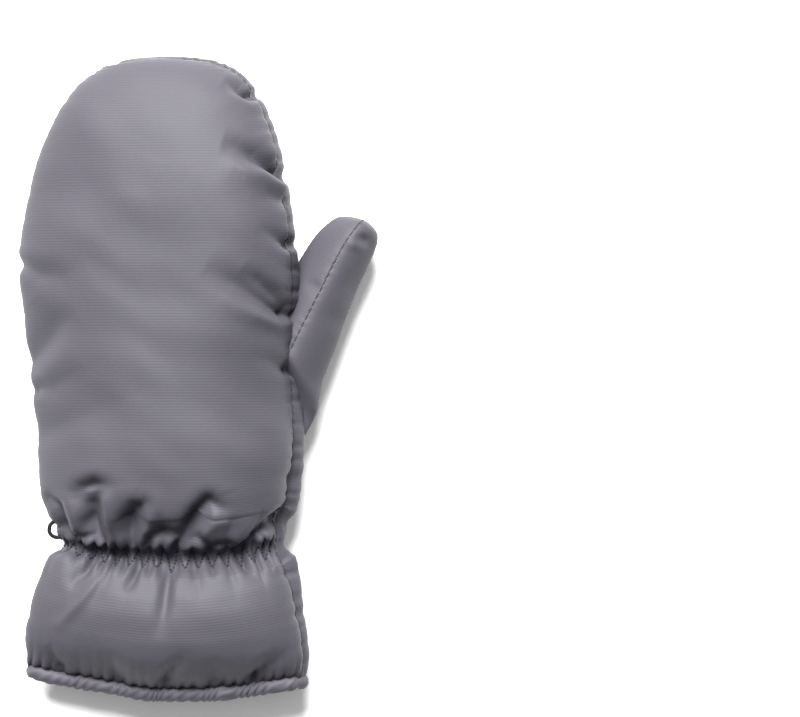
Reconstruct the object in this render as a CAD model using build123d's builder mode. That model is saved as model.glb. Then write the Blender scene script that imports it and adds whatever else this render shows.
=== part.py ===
"""Padded ski mitten for the left hand, lying palm down, as separate cloth and padding pieces.

+Y points to the fingertips, +X to the thumb, +Z to the back of the hand. The origin is on the flat
of the palm, where the mitten rests. Sizes are in millimetres. Each layer of the mitten is the space
between two nested bags, and seams, the wrist bend and the thumb cut the layers into pieces.
"""

import math
import os

from build123d import *

# --- Driving dimensions -------------------------------------------------------------------------

TIP_Y = 123.5           # end of the finger pocket
HEM_Y = -166.5          # open end of the cuff
POCKET_Y = 40.0         # widest place of the finger pocket, where the round tip begins
WRIST_Y = -98.0         # gathered wrist, and the wrist's bending axis
WRIST_Z = 25.0
TIP_POWER = 2.3         # roundness of the tip: 2 is an ellipse, more is squarer

POCKET_WIDTH = 125.0
POCKET_HEIGHT = 64.0    # of the whole bag, before its underside is flattened by the floor
POCKET_X = -1.6
POCKET_Z = 27.0

SHELL = 1.0             # outer cloth
LINING = 2.0            # fleece
PALM_WADDING = 7.0      # where the mitten lies on the floor
WADDING_POCKET = 10.0
WADDING_WRIST = 4.0
WADDING_CUFF = 5.5
WADDING_HEM = 3.0

BACK_SEAM_Z = 31.0      # seam between back panel and side gusset, at x = 0
BACK_SEAM_TILT = 5.0    # degrees: it climbs towards the thumb
PALM_SEAM_Z = 12.0      # seam between side gusset and palm panel
LAYER_SEAM_Z = 24.0     # where wadding and lining are joined, back to palm

WRIST_BALL = 21.0       # radius of the rounded end that the cuff turns around
BODY_GAP = 0.5          # between pieces that move apart

THUMB_TIP = (88.5, 52.0)
THUMB_ANGLE = 24.0      # degrees from +Y towards +X
THUMB_LENGTH = 112.0
THUMB_SHELL = 1.0
THUMB_WADDING = 4.5
THUMB_LINING = 1.5
THUMB_Z = 19.0
THUMB_FLOOR = 1.5       # the thumb's underside stays this far above the floor
THUMB_SEAM_Z = 14.0     # seam between the thumb's grip panel and its two back panels
THUMB_AXIS_X = 56.0     # the thumb folds about a line along Y at this place
THUMB_BALL = 20.0
THUMB_ROOT_X = 50.0     # where the thumb opens into the finger pocket
THUMB_ROOT_Y = (-62.0, 33.5)

ELASTIC_WIDTH = 8.0
ELASTIC = 1.0
BINDING_LENGTH = 6.5
BINDING_WALL = 8.5
BINDING_PROUD = 0.6
BINDING_FILLET = 2.8

LOOP_CORD = 1.8
LOOP_Y = (-94.5, -86.0)
LOOP_REACH = 5.7
LOOP_X = -49.5          # the line that the loop swings about, clear of the cloth as its cord ends turn
TACK_X = (-48.3, -41.0)
TACK_SIZE = (11.0, 3.0)  # along and across the side seam

LABEL_SIZE = (26.0, 18.0, 0.5)
LABEL_Y = -146.0

BIG = 400.0             # larger than the mitten

# Outer bag before the round tip: y, centre x, half width, centre z, half height, wadding.
STATIONS = [
    (HEM_Y - 14, 1.6, 64.0, 23.0, 20.0, WADDING_HEM),
    (HEM_Y, 1.9, 64.0, 23.3, 21.5, WADDING_HEM),
    (-151.0, 2.4, 63.8, 24.0, 23.5, WADDING_CUFF),
    (-136.0, 2.6, 62.8, 24.5, 23.8, WADDING_CUFF),
    (-122.0, 3.2, 60.5, 24.8, 22.6, WADDING_CUFF),
    (-110.0, 5.0, 56.5, 25.0, 20.0, 4.6),
    (WRIST_Y, 7.6, 52.0, WRIST_Z, 18.0, WADDING_WRIST),
    (-86.0, 6.3, 54.4, 25.4, 21.6, 5.6),
    (-73.0, 4.6, 58.4, 26.2, 26.6, 8.0),
    (-59.0, 4.0, 60.2, 26.8, 30.0, 9.4),
    (-44.0, 3.4, 60.6, POCKET_Z, 31.6, WADDING_POCKET),
    (-28.0, 2.4, 60.9, POCKET_Z, 32.0, WADDING_POCKET),
    (-12.0, 1.2, 61.3, POCKET_Z, 32.0, WADDING_POCKET),
    (5.0, 0.2, 61.9, POCKET_Z, 32.0, WADDING_POCKET),
    (22.0, -0.8, 62.4, POCKET_Z, 32.0, WADDING_POCKET),
    (POCKET_Y, POCKET_X, POCKET_WIDTH / 2, POCKET_Z, POCKET_HEIGHT / 2, WADDING_POCKET),
]
TIP_SHARES = (0.2, 0.38, 0.54, 0.68, 0.8, 0.9, 0.97)
TIP_SHIFT = 3.4         # the tip leans this far towards the thumb

# Thumb: distance back from its tip, half width, half height.
THUMB_STATIONS = [
    (0.6, 5.0, 4.5),
    (3.0, 9.0, 8.5),
    (10.0, 12.8, 12.5),
    (30.0, 15.8, 15.2),
    (60.0, 18.3, 17.0),
    (86.0, 22.0, 18.0),
    (THUMB_LENGTH, 24.0, 18.0),
]

os.makedirs("parts", exist_ok=True)


# --- Nested bags --------------------------------------------------------------------------------

def hand_sections(depth, wadding_share):
    """Centre x, y, z, half width and half height of each section, this far inside the outer cloth."""
    for y, x, half_width, z, half_height, wadding in STATIONS:
        inset = depth + wadding_share * wadding
        yield x, y, z, half_width - inset, half_height - inset
    inset = depth + wadding_share * WADDING_POCKET
    for share in TIP_SHARES:
        scale = (1 - share**TIP_POWER) ** (1 / TIP_POWER)
        half_width = (POCKET_WIDTH / 2 - inset) * scale
        half_height = (POCKET_HEIGHT / 2 - inset) * scale
        y = POCKET_Y + share * (TIP_Y - inset - POCKET_Y)
        yield POCKET_X + TIP_SHIFT * share, y, POCKET_Z, half_width, half_height


def hand_bag(depth, wadding_share, floor_z):
    """The closed bag this far inside the outer cloth, flat below, and open past the hem."""
    with BuildPart() as bag:
        for x, y, z, half_width, half_height in hand_sections(depth, wadding_share):
            with BuildSketch(Plane(origin=(x, y, z), x_dir=(1, 0, 0), z_dir=(0, -1, 0))):
                Ellipse(half_width, half_height)
        loft()
        split(bisect_by=Plane.XY.offset(floor_z), keep=Keep.TOP)
    return bag.part


def thumb_bag(depth):
    """The closed bag of the thumb, this far inside its outer cloth."""
    turn = math.radians(THUMB_ANGLE)
    along = Vector(-math.sin(turn), -math.cos(turn), 0)
    across = Vector(math.cos(turn), -math.sin(turn), 0)
    with BuildPart() as bag:
        for back, half_width, half_height in THUMB_STATIONS:
            place = Vector(*THUMB_TIP, THUMB_Z) + along * (back + depth)
            inset = depth * min(1.0, half_height / THUMB_STATIONS[3][2])
            with BuildSketch(Plane(origin=place, x_dir=across, z_dir=along)):
                Ellipse(half_width - inset, half_height - inset)
        loft()
        split(bisect_by=Plane.XY.offset(THUMB_FLOOR + depth), keep=Keep.TOP)
    return bag.part


OUTER = hand_bag(0, 0, 0)
UNDER_SHELL = hand_bag(SHELL, 0, SHELL)
UNDER_ELASTIC = hand_bag(SHELL + ELASTIC, 0, SHELL + ELASTIC)
UNDER_WADDING = hand_bag(SHELL, 1, SHELL + PALM_WADDING)
INSIDE = hand_bag(SHELL + LINING, 1, SHELL + PALM_WADDING + LINING)

HAND_CLEAR = hand_bag(-BODY_GAP, 0, -BODY_GAP)   # room that the thumb leaves round the hand

THUMB_OUTER = thumb_bag(0)
THUMB_UNDER_SHELL = thumb_bag(THUMB_SHELL)
THUMB_UNDER_WADDING = thumb_bag(THUMB_SHELL + THUMB_WADDING)
THUMB_INSIDE = thumb_bag(THUMB_SHELL + THUMB_WADDING + THUMB_LINING)


# --- Cutting tools ------------------------------------------------------------------------------

def slab(y_low, y_high):
    """Everything between two places along the hand."""
    with BuildPart() as block:
        with Locations((0, (y_low + y_high) / 2, 0)):
            Box(BIG, y_high - y_low, BIG)
    return block.part


def wrist_roller(radius):
    """A roller across the wrist, about the line that the cuff bends on."""
    with BuildPart() as roller:
        with Locations(Location((0, WRIST_Y, WRIST_Z), (0, 90, 0))):
            Cylinder(radius, BIG)
    return roller.part


def thumb_roller(radius, margin):
    """A roller along the thumb's root, about the line that the thumb folds on."""
    low, high = THUMB_ROOT_Y[0] - margin, THUMB_ROOT_Y[1] + margin
    with BuildPart() as roller:
        with Locations(Location((THUMB_AXIS_X, (low + high) / 2, THUMB_Z), (90, 0, 0))):
            Cylinder(radius, high - low)
    return roller.part


HEM_CUT = slab(HEM_Y - BIG, HEM_Y + BINDING_LENGTH)
CUFF_SIDE = slab(HEM_Y - BIG, WRIST_Y)
BALL = wrist_roller(WRIST_BALL)
SOCKET = wrist_roller(WRIST_BALL + BODY_GAP)
THUMB_HOLE = thumb_roller(THUMB_BALL + BODY_GAP, BODY_GAP)

BACK_SEAM = Plane.XY.offset(BACK_SEAM_Z).rotated((0, -BACK_SEAM_TILT, 0))
PALM_SEAM = Plane.XY.offset(PALM_SEAM_Z)
LAYER_SEAM = Plane.XY.offset(LAYER_SEAM_Z)


def keep_above(plane):
    split(bisect_by=plane, keep=Keep.TOP)


def keep_below(plane):
    split(bisect_by=plane, keep=Keep.BOTTOM)


def save(part, name):
    part.label = name
    export_step(part, f"parts/{name}.step")


# --- Hand and cuff layers -----------------------------------------------------------------------

def hand_part_of(outer, inner):
    """The hand's share of a layer: it ends in the wrist's ball, and has the thumb's hole."""
    with BuildPart() as layer:
        add(outer)
        add(inner, mode=Mode.SUBTRACT)
        add(CUFF_SIDE - BALL, mode=Mode.SUBTRACT)
        add(THUMB_HOLE, mode=Mode.SUBTRACT)
    return layer.part


def cuff_part_of(outer, inner):
    """The cuff's share of a layer: from the wrist's socket to the hem binding."""
    with BuildPart() as layer:
        add(outer)
        add(inner, mode=Mode.SUBTRACT)
        add(CUFF_SIDE, mode=Mode.INTERSECT)
        add(SOCKET, mode=Mode.SUBTRACT)
        add(HEM_CUT, mode=Mode.SUBTRACT)
    return layer.part


def save_panels(layer, ending):
    """Cuts an outer cloth layer into its back panel, side gusset and palm panel."""
    with BuildPart() as back_panel:
        add(layer)
        keep_above(BACK_SEAM)
    save(back_panel.part, f"back_panel_{ending}")
    with BuildPart() as side_gusset:
        add(layer)
        keep_below(BACK_SEAM)
        keep_above(PALM_SEAM)
    save(side_gusset.part, f"side_gusset_{ending}")
    with BuildPart() as palm_panel:
        add(layer)
        keep_below(PALM_SEAM)
    save(palm_panel.part, f"palm_panel_{ending}")


def save_halves(layer, kind, ending):
    """Cuts an inner layer into its back and palm halves."""
    with BuildPart() as back_half:
        add(layer)
        keep_above(LAYER_SEAM)
    save(back_half.part, f"{kind}_back_{ending}")
    with BuildPart() as palm_half:
        add(layer)
        keep_below(LAYER_SEAM)
    save(palm_half.part, f"{kind}_palm_{ending}")


with BuildPart() as wrist_elastic:
    add(UNDER_SHELL)
    add(UNDER_ELASTIC, mode=Mode.SUBTRACT)
    add(slab(WRIST_Y - ELASTIC_WIDTH / 2, WRIST_Y + ELASTIC_WIDTH / 2), mode=Mode.INTERSECT)
    add(BALL, mode=Mode.INTERSECT)
save(wrist_elastic.part, "wrist_elastic")

save_panels(hand_part_of(OUTER, UNDER_SHELL), "hand")
save_panels(cuff_part_of(OUTER, UNDER_SHELL), "cuff")
save_halves(hand_part_of(UNDER_SHELL, UNDER_WADDING) - wrist_elastic.part, "wadding", "hand")
save_halves(cuff_part_of(UNDER_SHELL, UNDER_WADDING), "wadding", "cuff")
save_halves(hand_part_of(UNDER_WADDING, INSIDE), "lining", "hand")
save_halves(cuff_part_of(UNDER_WADDING, INSIDE), "lining", "cuff")


# --- Hem binding: a padded roll round the open end ------------------------------------------------

_, HEM_X, HEM_HALF_WIDTH, HEM_Z, HEM_HALF_HEIGHT, _ = STATIONS[1]
with BuildPart() as hem_binding:
    with BuildSketch(Plane(origin=(HEM_X, HEM_Y, HEM_Z), x_dir=(1, 0, 0), z_dir=(0, -1, 0))):
        Ellipse(HEM_HALF_WIDTH + BINDING_PROUD, HEM_HALF_HEIGHT + BINDING_PROUD)
        Ellipse(
            HEM_HALF_WIDTH + BINDING_PROUD - BINDING_WALL,
            HEM_HALF_HEIGHT + BINDING_PROUD - BINDING_WALL,
            mode=Mode.SUBTRACT,
        )
    extrude(amount=-BINDING_LENGTH)
    fillet(hem_binding.edges().filter_by(GeomType.ELLIPSE), BINDING_FILLET)
save(hem_binding.part, "hem_binding")


# --- Thumb --------------------------------------------------------------------------------------

def thumb_part_of(outer, inner):
    """The thumb's share of a layer, open where it meets the finger pocket."""
    with BuildPart() as layer:
        add(outer)
        add(inner, mode=Mode.SUBTRACT)
        split(bisect_by=Plane.YZ.offset(THUMB_ROOT_X), keep=Keep.TOP)
        add(HAND_CLEAR - thumb_roller(THUMB_BALL, 0), mode=Mode.SUBTRACT)
    return layer.part


THUMB_SEAM = Plane.XY.offset(THUMB_SEAM_Z)
THUMB_RIDGE = Plane(
    origin=(*THUMB_TIP, 0),
    x_dir=(0, 0, 1),
    z_dir=(math.cos(math.radians(THUMB_ANGLE)), -math.sin(math.radians(THUMB_ANGLE)), 0),
)
thumb_shell = thumb_part_of(THUMB_OUTER, THUMB_UNDER_SHELL)
with BuildPart() as thumb_outer_panel:
    add(thumb_shell)
    keep_above(THUMB_SEAM)
    keep_above(THUMB_RIDGE)
save(thumb_outer_panel.part, "thumb_outer_panel")

with BuildPart() as thumb_inner_panel:
    add(thumb_shell)
    keep_above(THUMB_SEAM)
    keep_below(THUMB_RIDGE)
save(thumb_inner_panel.part, "thumb_inner_panel")

with BuildPart() as thumb_grip_panel:
    add(thumb_shell)
    keep_below(THUMB_SEAM)
save(thumb_grip_panel.part, "thumb_grip_panel")

save(thumb_part_of(THUMB_UNDER_SHELL, THUMB_UNDER_WADDING), "thumb_wadding")
save(thumb_part_of(THUMB_UNDER_WADDING, THUMB_INSIDE), "thumb_lining")


# --- Pairing loop and its bar tack ----------------------------------------------------------------

LOOP_MIDDLE = sum(LOOP_Y) / 2
LOOP_ROUND = (LOOP_Y[1] - LOOP_Y[0]) / 2
with BuildPart() as pair_loop:
    with BuildLine(Plane.XY.offset(WRIST_Z)) as loop_path:
        Line((LOOP_X, LOOP_Y[1]), (LOOP_X - LOOP_REACH + LOOP_ROUND, LOOP_Y[1]))
        ThreePointArc(
            (LOOP_X - LOOP_REACH + LOOP_ROUND, LOOP_Y[1]),
            (LOOP_X - LOOP_REACH, LOOP_MIDDLE),
            (LOOP_X - LOOP_REACH + LOOP_ROUND, LOOP_Y[0]),
        )
        Line((LOOP_X - LOOP_REACH + LOOP_ROUND, LOOP_Y[0]), (LOOP_X, LOOP_Y[0]))
    with BuildSketch(Plane(origin=(LOOP_X, LOOP_Y[1], WRIST_Z), x_dir=(0, 1, 0), z_dir=(-1, 0, 0))):
        Circle(LOOP_CORD / 2)
    sweep(path=loop_path.line)
save(pair_loop.part, "pair_loop")

with BuildPart() as loop_bar_tack:
    with Locations((sum(TACK_X) / 2, LOOP_MIDDLE, WRIST_Z)):
        Box(TACK_X[1] - TACK_X[0], *TACK_SIZE)
    add(OUTER, mode=Mode.SUBTRACT)
save(loop_bar_tack.part, "loop_bar_tack")


# --- Care label, blank, sewn flat on the cuff's lining ----------------------------------------------

with BuildPart() as care_label:
    with Locations((HEM_X, LABEL_Y, SHELL + PALM_WADDING + LINING + LABEL_SIZE[2] / 2)):
        Box(*LABEL_SIZE)
save(care_label.part, "care_label")
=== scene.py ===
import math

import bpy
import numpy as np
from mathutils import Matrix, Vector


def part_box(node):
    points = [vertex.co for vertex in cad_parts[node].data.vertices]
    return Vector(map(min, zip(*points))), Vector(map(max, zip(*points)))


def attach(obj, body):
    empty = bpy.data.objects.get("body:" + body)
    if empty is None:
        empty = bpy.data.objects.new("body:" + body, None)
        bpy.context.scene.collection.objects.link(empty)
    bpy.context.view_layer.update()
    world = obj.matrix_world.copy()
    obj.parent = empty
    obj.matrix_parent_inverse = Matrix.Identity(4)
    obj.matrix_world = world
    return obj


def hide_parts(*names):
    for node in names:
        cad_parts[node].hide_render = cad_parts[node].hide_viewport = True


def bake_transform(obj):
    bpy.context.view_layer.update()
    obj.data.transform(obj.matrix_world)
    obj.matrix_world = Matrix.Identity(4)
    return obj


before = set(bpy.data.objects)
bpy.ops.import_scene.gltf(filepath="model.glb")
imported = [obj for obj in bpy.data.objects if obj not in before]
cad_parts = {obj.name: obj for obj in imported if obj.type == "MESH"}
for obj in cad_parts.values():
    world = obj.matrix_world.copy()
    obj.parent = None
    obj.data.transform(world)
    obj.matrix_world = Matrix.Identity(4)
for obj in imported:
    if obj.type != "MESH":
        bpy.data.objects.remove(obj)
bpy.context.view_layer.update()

# Looks of a padded ski mitten that lies palm down. The outer cloth is made panel by panel: each panel is
# a grid of cloth with more length than the space between its seams, settled over the wadding below it.
# Lengths in this script are in millimetres, in the frame of the solids, until a mesh is made.

MM = 0.001


# --- Curves and grids -----------------------------------------------------------------------------

def curve_through(points):
    """A smooth function through (place, value) points, which doesn't overshoot between them."""
    places, values = np.array(points, float).T
    gaps = np.diff(places)
    slopes = np.diff(values) / gaps
    turns = slopes[:-1] * slopes[1:]
    inner = np.where(turns > 0, 2 * turns / np.where(turns > 0, slopes[:-1] + slopes[1:], 1), 0)
    tangents = np.concatenate([slopes[:1], inner, slopes[-1:]])

    def at(place):
        place = np.clip(place, places[0], places[-1])
        k = np.clip(np.searchsorted(places, place, "right") - 1, 0, len(gaps) - 1)
        s = (place - places[k]) / gaps[k]
        return (
            (1 + 2 * s) * (1 - s) ** 2 * values[k]
            + s * (1 - s) ** 2 * gaps[k] * tangents[k]
            + s * s * (3 - 2 * s) * values[k + 1]
            + s * s * (s - 1) * gaps[k] * tangents[k + 1]
        )

    return at


def length_of(vectors):
    return np.sqrt(np.einsum("...i,...i->...", vectors, vectors))[..., None]


def arc_across(grid):
    """Distance along each row of a grid, from its first point."""
    return np.cumsum(np.pad(length_of(np.diff(grid, axis=1))[..., 0], ((0, 0), (1, 0))), axis=1)


def unit(vectors):
    return vectors / np.maximum(length_of(vectors), 1e-9)


def normals_of(grid):
    """Unit normals of a grid of points, which point out where rows run forward and columns to the right."""
    return unit(np.cross(np.gradient(grid, axis=1), np.gradient(grid, axis=0)))


def wander(places, spacing, seed):
    """Smooth chance values, about -1 to 1, that change over this spacing."""
    knots = np.arange(places.min() - 2 * spacing, places.max() + 3 * spacing, spacing)
    values = np.random.default_rng(seed).uniform(-1, 1, len(knots))
    return curve_through(np.column_stack([knots, values]))(places)


def swells(x, y, spacing, seed):
    """Smooth chance values over a plane, about -1 to 1, that change over this spacing."""
    values = np.random.default_rng(seed).uniform(-1, 1, (40, 40))
    u, v = x / spacing + 20, y / spacing + 20
    i, j = np.floor(u).astype(int), np.floor(v).astype(int)
    s, t = (w * w * (3 - 2 * w) for w in (u - i, v - j))
    return (
        values[i, j] * (1 - s) * (1 - t) + values[i + 1, j] * s * (1 - t)
        + values[i, j + 1] * (1 - s) * t + values[i + 1, j + 1] * s * t
    )


def bump(distance, width):
    return np.exp(-((distance / width) ** 2))


def stroke_depth(x, y, points):
    """Depth at (x, y) of a fold drawn through points of (x, y, depth, half width)."""
    best = np.zeros_like(x)
    nearest = np.full_like(x, 1e9)
    for (x0, y0, d0, w0), (x1, y1, d1, w1) in zip(points, points[1:]):
        run = np.array([x1 - x0, y1 - y0])
        share = np.clip(((x - x0) * run[0] + (y - y0) * run[1]) / (run @ run), 0, 1)
        distance = np.hypot(x - x0 - share * run[0], y - y0 - share * run[1])
        width = w0 + (w1 - w0) * share
        reach = distance / width
        depth = (d0 + (d1 - d0) * share) * (np.exp(-reach**1.7) - 0.3 * np.exp(-((reach / 2.1) ** 2)))
        closer = reach < nearest
        nearest = np.where(closer, reach, nearest)
        best = np.where(closer, depth, best)
    return best


# --- Cloth that settles over wadding --------------------------------------------------------------

def pull(cloth, first, second, rest, share):
    """Moves two sets of points towards their rest distance."""
    apart = cloth[second] - cloth[first]
    move = apart * (share / 2 * (1 - rest / np.maximum(length_of(apart), 1e-6)))
    cloth[first] += move
    cloth[second] -= move


def pairs(axis, reach):
    """Slices of the pairs of points this far apart along an axis, in sets that share no point."""
    for start in range(2 * reach):
        first, second = [slice(None)] * 2, [slice(None)] * 2
        first[axis] = slice(start, -reach, 2 * reach)
        second[axis] = slice(start + reach, None, 2 * reach)
        yield tuple(first), tuple(second)


def finer(grid):
    """The grid with a point put between each two, on a smooth curve."""
    for axis in (0, 1):
        g = np.moveaxis(grid, axis, 0)
        padded = np.concatenate([2 * g[:1] - g[1:2], g, 2 * g[-1:] - g[-2:-1]])
        middle = (9 * (padded[1:-2] + padded[2:-1]) - padded[:-3] - padded[3:]) / 16
        made = np.empty((2 * len(g) - 1, *g.shape[1:]))
        made[::2], made[1::2] = g, middle
        grid = np.moveaxis(made, 0, axis)
    return grid


DRIFT_HOLD = 0.015      # of its distance that cloth creeps back over its wadding in a round


def relax(cloth, base, rest_u, rest_v, hold, stiffness, rounds):
    """Lets a grid of cloth find its shape. Its edges stay sewn where they are."""
    normals = normals_of(base)
    edge = cloth.copy()
    plans = []
    for axis, rest, reach, share in (
        (1, rest_u, 1, 1.0), (0, rest_v, 1, 1.0), (1, rest_u, 2, stiffness), (0, rest_v, 2, stiffness),
    ):
        full = rest
        if reach == 2:
            full = rest[:, :-1] + rest[:, 1:] if axis else rest[:-1] + rest[1:]
        for first, second in pairs(axis, reach):
            count = len(range(*first[axis].indices(cloth.shape[axis])))
            if axis:
                lengths = full[:, first[1].start :: 2 * reach][:, :count]
            else:
                lengths = full[first[0].start :: 2 * reach][:count]
            plans.append((first, second, lengths[..., None], share))
    for _ in range(rounds):
        for first, second, lengths, share in plans:
            pull(cloth, first, second, lengths, share)
        out = np.einsum("...i,...i->...", base - cloth, normals)
        cloth += (hold * out)[..., None] * normals + DRIFT_HOLD * (base - cloth)
        for side in ((0,), (-1,), (slice(None), 0), (slice(None), -1)):
            cloth[side] = edge[side]
    return cloth


def settle(base, slack_u, slack_v, hold, stiffness=0.12, rounds=(160, 70), ripple=0.25, seed=1):
    """A panel with slack to spare, settled on its wadding: first its large folds, then its small ones."""
    rest_u = length_of(np.diff(base, axis=1))[..., 0] * (1 + (slack_u[:, 1:] + slack_u[:, :-1]) / 2)
    rest_v = length_of(np.diff(base, axis=0))[..., 0] * (1 + (slack_v[1:] + slack_v[:-1]) / 2)
    rows, columns = base.shape[:2]
    noise = np.random.default_rng(seed).normal(0, ripple, (rows, columns, 1))
    start = base + noise * normals_of(base)
    for side in ((0,), (-1,), (slice(None), 0), (slice(None), -1)):
        start[side] = base[side]
    coarse = relax(
        start[::2, ::2].copy(), base[::2, ::2],
        (rest_u[:, ::2] + rest_u[:, 1::2])[::2], (rest_v[::2] + rest_v[1::2])[:, ::2],
        hold[::2, ::2], stiffness, rounds[0],
    )
    cloth = finer(coarse)
    for side in ((0,), (-1,), (slice(None), 0), (slice(None), -1)):
        cloth[side] = base[side]
    return relax(cloth, base, rest_u, rest_v, hold, stiffness, rounds[1])


# --- Outline of the mitten, seen from above -------------------------------------------------------

STEP = 0.9              # between grid points
HEM_Y = -155.0          # seam between cuff and binding
POCKET_Y = 40.0         # the round tip begins here
TIP_REACH = 83.5
TIP_X = 1.8
WRIST_Y = -97.0
WRIST_Z = 25.0

# (y, outer side's x, thumb side's x), then the same round the tip by degrees
SIDES = [
    (HEM_Y, -62.6, 64.6), (-148, -61.4, 66.4), (-136, -60.2, 65.4), (-122, -57.4, 63.6),
    (-112, -53.4, 62.4), (-104, -49.6, 60.6), (-96, -46.2, 56.2), (-89, -46.0, 56.2),
    (-82, -50.6, 60.8), (-74, -53.9, 62.6), (-60, -55.2, 64.0), (-46, -55.6, 64.2),
    (-32, -57.5, 63.6), (-18, -59.3, 62.8), (-3, -60.6, 62.6), (12, -62.2, 62.4),
    (26, -63.3, 62.0), (POCKET_Y, -63.8, 60.5),
]
TIP = [
    (15, -60.3, 57.8), (30, -54.4, 53.6), (45, -46.6, 47.6), (60, -37.0, 39.4),
    (75, -24.4, 27.4), (83, -13.2, 16.2), (90, TIP_X, TIP_X),
]


def round_tip(degrees):
    """Distance along the mitten of a place round its tip."""
    return POCKET_Y + TIP_REACH * math.radians(degrees)


OUTLINE = SIDES + [(round_tip(a), x0, x1) for a, x0, x1 in TIP]
TIP_END = round_tip(90)

straight = 4 * round((POCKET_Y - HEM_Y) / STEP / 4)
curved = 4 * round((TIP_END - POCKET_Y) / STEP / 4)
ALONG = np.concatenate([
    np.linspace(HEM_Y, POCKET_Y, straight + 1)[:-1], np.linspace(POCKET_Y, TIP_END, curved + 1)
])
ANGLE = np.clip((ALONG - POCKET_Y) / TIP_REACH, 0, math.pi / 2)
ROW_Y = np.minimum(ALONG, POCKET_Y) + TIP_REACH * np.sin(ANGLE)


def outline_of(column, turn):
    """Points and outward directions of one side of the outline."""
    x = curve_through([(row[0], row[column]) for row in OUTLINE])(ALONG)
    points = np.column_stack([x, ROW_Y])
    along = unit(np.gradient(points, axis=0))
    outward = turn * np.column_stack([-along[:, 1], along[:, 0]])
    outward[-3:] = (0, 1)
    return points, outward


OUTER_LINE, OUTER_WAY = outline_of(1, 1)
THUMB_LINE, THUMB_WAY = outline_of(2, -1)


# --- Seams between the panels ---------------------------------------------------------------------

# How far the back seam lies inside the outline on the thumb side, by distance along the mitten
THUMB_SEAM_INSET = curve_through([
    (HEM_Y, 2.2), (-148, 2.6), (-131, 2.8), (-118, 4.2), (-104, 6.4), (-93, 4.4), (-83, 6.6), (-68, 6.3),
    (-50, 4.8), (-28, 4.5), (0, 3.6), (22, 3.0), (POCKET_Y, 2.6), (58, 3.0), (70, 2.4), (90, 1.9),
    (110, 1.6), (130, 1.3), (TIP_END, 1.0),
])
# On the outer side it lies under the back panel's edge, and shows only round the tip
OUTER_SEAM_INSET = curve_through([(HEM_Y, 1.0), (-140, 2.2), (100, 2.2), (140, 1.2), (TIP_END, 1.0)])
EDGE_REACH = 9.0        # that edge is roundest this far in
# and stands out this far past the outline, before it settles
EDGE_PUFF = curve_through([
    (HEM_Y, 3.2), (-145, 3.2), (-125, 2.2), (-104, 3.6), (WRIST_Y, 1.6), (-85, 1.8), (-60, 2.4), (-25, 3.2),
    (-10, 3.6), (8, 2.4), (30, 1.2), (42, -0.4), (60, 0.6), (75, 1.0), (92, 1.9), (104, 0.8), (114, -0.5),
    (TIP_END, -1.6),
])
# Pinches where the seam is drawn in: distance along the mitten, depth, half width
THUMB_SIDE_PINCHES = [
    (117.0, 2.2, 2.8), (70.5, 3.8, 3.2), (39.0, 1.8, 2.4), (6.5, 2.2, 2.4), (-18.0, 1.8, 2.4),
    (-68.0, 0.8, 3.0), (-128.0, 0.6, 3.0),
]
OUTER_SIDE_PINCHES = [
    (152.0, 1.2, 3.0), (96.0, 0.6, 3.0), (62.0, 0.5, 3.0), (30.0, 1.9, 3.0), (-27.0, 1.6, 2.6),
    (-60.0, 0.7, 3.0), (-130.0, 0.5, 3.0),
]
SMALL_PINCH_GAP = 8.5
PALM_SEAM_INSET = 6.0
PALM_PINCH = 0.4        # share of a pinch that reaches the palm seam
PALM_SEAM_Z = curve_through([
    (HEM_Y, 12.0), (-120, 12.5), (WRIST_Y, 15.5), (-70, 12.0), (-40, 11.0), (TIP_END, 11.0),
])
OUTER_SEAM_Z = curve_through([
    (HEM_Y, 18.0), (WRIST_Y, 21.0), (-50, 18.0), (60, 18.0), (110, 22.0), (TIP_END, 29.5),
])
THUMB_SEAM_Z = curve_through([
    (HEM_Y, 26.0), (-120, 28.0), (WRIST_Y, 28.0), (-60, 27.5), (-30, 30.0), (0, 34.0), (60, 38.5),
    (95, 36.0), (TIP_END, 29.5),
])
# How much more gently the back rises from its seam on the thumb side
THUMB_SIDE_EASE = curve_through([(HEM_Y, 0.0), (-60, 0.0), (-20, 0.35), (100, 0.35), (TIP_END, 0.0)])


def pinch_depth(pinches, seed):
    """How far a seam is drawn in along its length: the named pinches and small chance ones."""
    depth = sum(d * bump(ALONG - place, width) for place, d, width in pinches)
    chance = np.random.default_rng(seed)
    place = HEM_Y + 6
    while place < TIP_END - 8:
        depth = depth + chance.uniform(0.15, 0.6) * bump(ALONG - place, chance.uniform(1.4, 2.4))
        place += SMALL_PINCH_GAP * chance.uniform(0.6, 1.4)
    return depth


def seam_line(line, outward, inset, height, pinch):
    """A seam at this inset from the outline, drawn in and down at its pinches."""
    plan = line - outward * (inset + pinch)[:, None]
    return np.column_stack([plan, height - 0.6 * pinch])


# The hem is skewed: its outer end lies nearer the fingertips
HEM_SKEW = 2.4
hem_share = np.clip((-110 - ALONG) / 45, 0, 1)
for line in (OUTER_LINE, THUMB_LINE):
    line[:, 1] -= hem_share * HEM_SKEW * line[:, 0] / 64

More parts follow.
